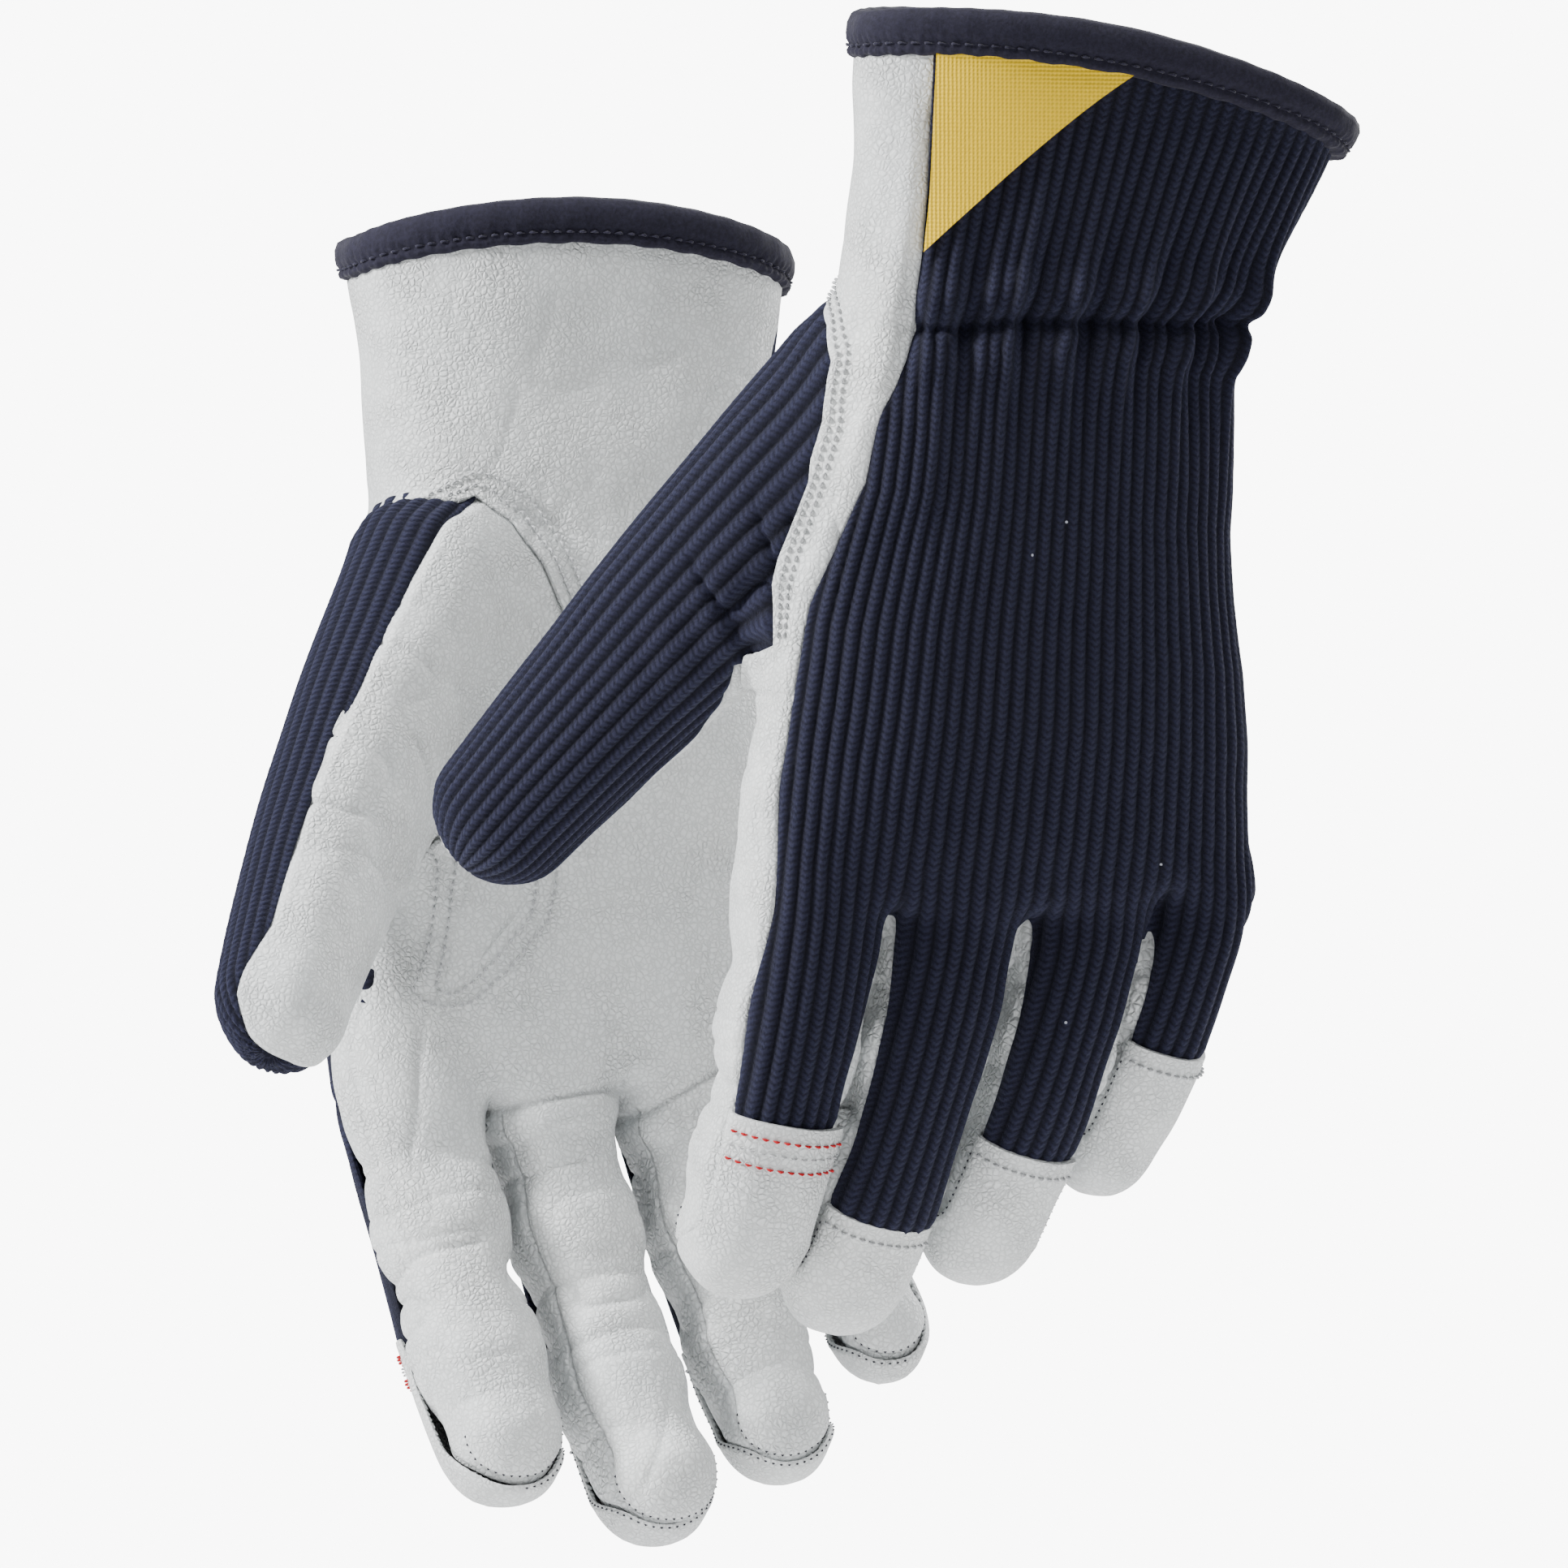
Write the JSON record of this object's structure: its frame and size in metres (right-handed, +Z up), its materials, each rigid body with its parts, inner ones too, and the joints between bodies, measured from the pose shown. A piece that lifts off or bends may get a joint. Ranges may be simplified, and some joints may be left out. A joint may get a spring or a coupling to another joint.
{
  "type": "work gloves",
  "caption": "Pair of slip-on work gloves with leather palms, ribbed knit backs, leather fingertip caps, taped cuffs and an elastic wrist gather.",
  "frame": {"origin": "middle of the right glove's cuff opening, at the level of the cuff's rim line", "axes": "+Z up, from the fingers to the cuffs; -Y is the side that the right palm and the left back face; +X from the right glove to the left glove"},
  "size_m": [0.2098, 0.2202, 0.2833],
  "materials": {
    "leather": "fine grained, matte off-white",
    "knit": "ribbed cotton knit, matte navy",
    "tape": "jersey tape, matte dark navy",
    "elastic": "woven covered elastic",
    "label": "plain woven label",
    "grey_thread": "sewing thread",
    "red_thread": "sewing thread"
  },
  "bodies": {
    "right_hand": {"right_palm": "leather", "right_back": "knit", "right_cuff_binding": "tape", "right_wrist_elastic": "elastic", "right_label": "label", "right_thumb_gusset": "leather", "right_thumb_seam_stitching": "grey_thread", "right_thumb_root_front": "leather", "right_thumb_root_back": "knit"},
    "right_thumb": {"right_thumb_front": "leather", "right_thumb_back": "knit"},
    "right_index": {"right_index_front": "leather", "right_index_back": "knit", "right_index_fourchette": "leather", "right_index_cap": "leather", "right_index_cap_stitching": "red_thread"},
    "right_middle": {"right_middle_front": "leather", "right_middle_back": "knit", "right_middle_fourchette_radial": "leather", "right_middle_fourchette_ulnar": "leather", "right_middle_cap": "leather"},
    "right_ring": {"right_ring_front": "leather", "right_ring_back": "knit", "right_ring_fourchette_radial": "leather", "right_ring_fourchette_ulnar": "leather", "right_ring_cap": "leather"},
    "right_little": {"right_little_front": "leather", "right_little_back": "knit", "right_little_fourchette": "leather", "right_little_cap": "leather"},
    "left_hand": {"left_palm": "leather", "left_back": "knit", "left_cuff_binding": "tape", "left_wrist_elastic": "elastic", "left_label": "label", "left_thumb_gusset": "leather", "left_thumb_seam_stitching": "grey_thread", "left_thumb_root_front": "leather", "left_thumb_root_back": "knit"},
    "left_thumb": {"left_thumb_front": "leather", "left_thumb_back": "knit"},
    "left_index": {"left_index_front": "leather", "left_index_back": "knit", "left_index_fourchette": "leather", "left_index_cap": "leather", "left_index_cap_stitching": "red_thread"},
    "left_middle": {"left_middle_front": "leather", "left_middle_back": "knit", "left_middle_fourchette_radial": "leather", "left_middle_fourchette_ulnar": "leather", "left_middle_cap": "leather"},
    "left_ring": {"left_ring_front": "leather", "left_ring_back": "knit", "left_ring_fourchette_radial": "leather", "left_ring_fourchette_ulnar": "leather", "left_ring_cap": "leather"},
    "left_little": {"left_little_front": "leather", "left_little_back": "knit", "left_little_fourchette": "leather", "left_little_cap": "leather"}
  },
  "joints": [
    {"name": "right_index_knuckle", "type": "hinge", "parent": "right_hand", "child": "right_index", "pos_m": [-0.02676, -0.03011, -0.16476], "axis": [-0.9192, -0.3544, -0.1718], "range_deg": [-10, 70], "stiffness_Nm_per_rad": 0.02},
    {"name": "right_middle_knuckle", "type": "hinge", "parent": "right_hand", "child": "right_middle", "pos_m": [-0.00167, -0.02092, -0.16472], "axis": [-0.9174, -0.3547, -0.1804], "range_deg": [-10, 70], "stiffness_Nm_per_rad": 0.02},
    {"name": "right_ring_knuckle", "type": "hinge", "parent": "right_hand", "child": "right_ring", "pos_m": [0.02219, -0.01207, -0.16364], "axis": [-0.9118, -0.3553, -0.2059], "range_deg": [-10, 70], "stiffness_Nm_per_rad": 0.02},
    {"name": "right_little_knuckle", "type": "hinge", "parent": "right_hand", "child": "right_little", "pos_m": [0.0423, -0.00417, -0.15843], "axis": [-0.8937, -0.3558, -0.2733], "range_deg": [-10, 70], "stiffness_Nm_per_rad": 0.02},
    {"name": "right_thumb_base", "type": "hinge", "parent": "right_hand", "child": "right_thumb", "pos_m": [-0.03468, -0.04646, -0.09803], "axis": [-0.3425, -0.6722, 0.6564], "range_deg": [-8, 35], "stiffness_Nm_per_rad": 0.02},
    {"name": "left_glove_free", "type": "slide", "parent": "right_hand", "child": "left_hand", "axis": [1, 0, 0], "range_m": [0, 0.15]},
    {"name": "left_index_knuckle", "type": "hinge", "parent": "left_hand", "child": "left_index", "pos_m": [0.04372, -0.17554, -0.12806], "axis": [0.9311, 0.342, -0.127], "range_deg": [-10, 70], "stiffness_Nm_per_rad": 0.02},
    {"name": "left_middle_knuckle", "type": "hinge", "parent": "left_hand", "child": "left_middle", "pos_m": [0.06875, -0.1664, -0.12999], "axis": [0.9196, 0.3407, -0.1958], "range_deg": [-10, 70], "stiffness_Nm_per_rad": 0.02},
    {"name": "left_ring_knuckle", "type": "hinge", "parent": "left_hand", "child": "left_ring", "pos_m": [0.09269, -0.15772, -0.13079], "axis": [0.9121, 0.3395, -0.2299], "range_deg": [-10, 70], "stiffness_Nm_per_rad": 0.02},
    {"name": "left_little_knuckle", "type": "hinge", "parent": "left_hand", "child": "left_little", "pos_m": [0.11336, -0.1504, -0.12718], "axis": [0.908, 0.3387, -0.2468], "range_deg": [-10, 70], "stiffness_Nm_per_rad": 0.02},
    {"name": "left_thumb_base", "type": "hinge", "parent": "left_hand", "child": "left_thumb", "pos_m": [0.02923, -0.16308, -0.06515], "axis": [0.6306, -0.3552, -0.6901], "range_deg": [-8, 35], "stiffness_Nm_per_rad": 0.02}
  ]
}
